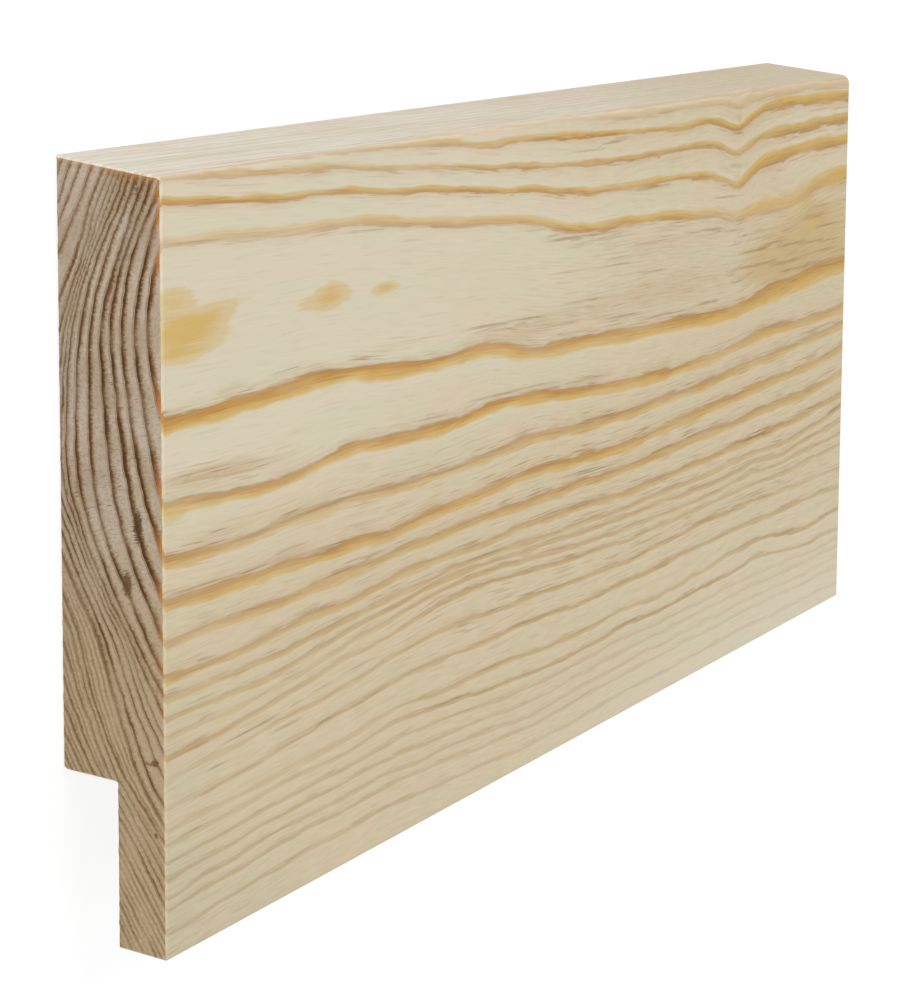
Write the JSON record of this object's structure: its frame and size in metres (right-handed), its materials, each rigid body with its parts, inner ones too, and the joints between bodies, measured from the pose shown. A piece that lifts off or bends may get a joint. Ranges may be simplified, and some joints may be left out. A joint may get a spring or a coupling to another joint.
{
  "type": "door lining board",
  "caption": "Rebated softwood board that lines a door opening: a lip laps the frame, and the opposite edge is bevelled with a rounded arris.",
  "frame": {"origin": "on the floor under the middle of the board's bounding box, the board lying flat on its back", "axes": "+X along the length, +Y across the width from the rebated lip towards the bevelled edge, +Z out of the show face"},
  "size_m": [0.24, 0.12, 0.02],
  "materials": {
    "planed_pine": "planed untreated pine, matt, with flat-sawn grain on the faces and sawn end grain"
  },
  "bodies": {
    "root": {"door_lining_board": "planed_pine"}
  },
  "joints": []
}
